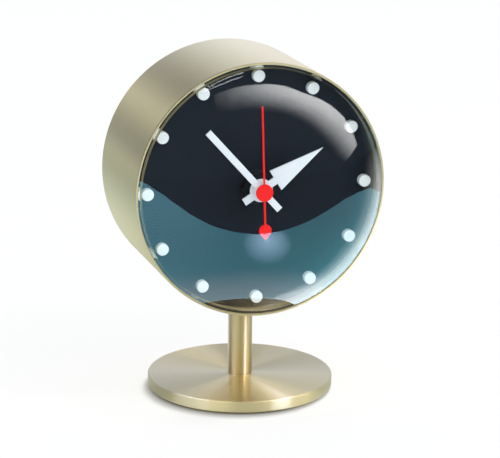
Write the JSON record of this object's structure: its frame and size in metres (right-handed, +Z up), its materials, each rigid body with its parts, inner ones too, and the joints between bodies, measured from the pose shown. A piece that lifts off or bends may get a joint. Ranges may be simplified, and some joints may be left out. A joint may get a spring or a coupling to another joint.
{
  "type": "table clock",
  "caption": "Round brass table clock on a stem and disc base, with a domed clear lens, a dark dial with white pegs, three hands and a quartz movement.",
  "frame": {"origin": "middle of the underside of the base's foot, on the table", "axes": "+Z up, the dial faces -Y, the drum's axis runs along Y over the stem"},
  "size_m": [0.11, 0.0907, 0.1503],
  "materials": {
    "satin_brass": "satin, brushed round the turning axis",
    "black_rubber": "matt",
    "steel": "plain",
    "nickel_strip": "nickel plated",
    "black_steel": "blackened",
    "clear_acrylic": "polished, clear",
    "dial_black": "semi-matt black paint on aluminium",
    "white_peg": "satin white",
    "white_hand": "white paint on aluminium",
    "red_hand": "red paint",
    "movement_black": "moulded",
    "cover_black": "fine moulded texture",
    "wheel_plastic": "moulded",
    "ferrite": "ground",
    "copper": "enamelled wire",
    "board_green": "solder mask",
    "black_resin": "cured resin",
    "cell_label": "plain printed sleeve"
  },
  "bodies": {
    "clock_body": {"base_foot": "black_rubber", "base_disc": "satin_brass", "base_screw": "steel", "stem": "satin_brass", "case_body": "satin_brass", "saddle_washer": "steel", "stem_screw": "steel", "dial_ring": "satin_brass", "dial": "dial_black", "dial_nuts": "black_steel", "hour_marker_01": "white_peg", "hour_marker_02": "white_peg", "hour_marker_03": "white_peg", "hour_marker_04": "white_peg", "hour_marker_05": "white_peg", "hour_marker_06": "white_peg", "hour_marker_07": "white_peg", "hour_marker_08": "white_peg", "hour_marker_09": "white_peg", "hour_marker_10": "white_peg", "hour_marker_11": "white_peg", "hour_marker_12": "white_peg", "lens": "clear_acrylic", "movement_front_case": "movement_black", "movement_lid": "movement_black", "movement_washer": "black_rubber", "nut_washer": "black_steel", "movement_nut": "black_steel", "train_bridge": "movement_black", "bridge_screws": "steel", "stator": "steel", "coil_core": "steel", "coil_bobbin": "movement_black", "coil_winding": "copper", "circuit_board": "board_green", "control_chip": "black_resin", "quartz_crystal": "steel", "battery_contact_positive": "nickel_strip", "battery_contact_negative": "nickel_strip", "rear_ring": "satin_brass", "rear_cover": "cover_black", "cover_screws": "black_steel"},
    "second_hand": {"second_hand": "red_hand", "second_wheel": "wheel_plastic"},
    "rotor": {"rotor_pinion": "wheel_plastic", "rotor_magnet": "ferrite"},
    "intermediate_wheel": {"intermediate_wheel": "wheel_plastic"},
    "third_wheel": {"third_wheel": "wheel_plastic"},
    "centre_wheel": {"centre_wheel": "wheel_plastic"},
    "minute_hand": {"minute_hand": "white_hand", "cannon_pinion": "wheel_plastic"},
    "minute_wheel": {"minute_wheel": "wheel_plastic"},
    "hour_hand": {"hour_hand": "white_hand", "hour_wheel": "wheel_plastic"},
    "setting_knob": {"setting_knob": "movement_black", "setting_arbor": "wheel_plastic"},
    "battery": {"battery": "cell_label"}
  },
  "joints": [
    {"name": "second_hand_spin", "type": "hinge", "parent": "clock_body", "child": "second_hand", "pos_m": [0, -0.0178, 0.0953], "axis": [0, 1, 0], "continuous": true},
    {"name": "rotor_spin", "type": "hinge", "parent": "clock_body", "child": "rotor", "pos_m": [0.01365, -0.0178, 0.0953], "axis": [0, 1, 0], "continuous": true},
    {"name": "intermediate_wheel_spin", "type": "hinge", "parent": "clock_body", "child": "intermediate_wheel", "pos_m": [0.0084, -0.0178, 0.0953], "axis": [0, 1, 0], "continuous": true},
    {"name": "third_wheel_spin", "type": "hinge", "parent": "clock_body", "child": "third_wheel", "pos_m": [0, -0.0178, 0.1038], "axis": [0, 1, 0], "continuous": true},
    {"name": "centre_wheel_spin", "type": "hinge", "parent": "clock_body", "child": "centre_wheel", "pos_m": [0, -0.0178, 0.0953], "axis": [0, 1, 0], "continuous": true},
    {"name": "minute_hand_spin", "type": "hinge", "parent": "clock_body", "child": "minute_hand", "pos_m": [0, -0.0178, 0.0953], "axis": [0, 1, 0], "continuous": true},
    {"name": "minute_wheel_spin", "type": "hinge", "parent": "clock_body", "child": "minute_wheel", "pos_m": [-0.006, -0.0178, 0.0953], "axis": [0, 1, 0], "continuous": true},
    {"name": "hour_hand_spin", "type": "hinge", "parent": "clock_body", "child": "hour_hand", "pos_m": [0, -0.0178, 0.0953], "axis": [0, 1, 0], "continuous": true},
    {"name": "setting_knob_spin", "type": "hinge", "parent": "clock_body", "child": "setting_knob", "pos_m": [-0.01225, -0.0178, 0.0953], "axis": [0, 1, 0], "continuous": true},
    {"name": "battery_slide", "type": "slide", "parent": "clock_body", "child": "battery", "axis": [0, 1, 0], "range_m": [0, 0.05]}
  ],
  "couplings": [
    {"joint": "intermediate_wheel_spin", "follows": "second_hand_spin", "ratio": -5},
    {"joint": "rotor_spin", "follows": "second_hand_spin", "ratio": 30},
    {"joint": "third_wheel_spin", "follows": "second_hand_spin", "ratio": -0.13333},
    {"joint": "centre_wheel_spin", "follows": "second_hand_spin", "ratio": 0.016667},
    {"joint": "minute_wheel_spin", "follows": "minute_hand_spin", "ratio": -0.33333},
    {"joint": "hour_hand_spin", "follows": "minute_hand_spin", "ratio": 0.083333},
    {"joint": "setting_knob_spin", "follows": "minute_hand_spin", "ratio": 0.85714}
  ]
}
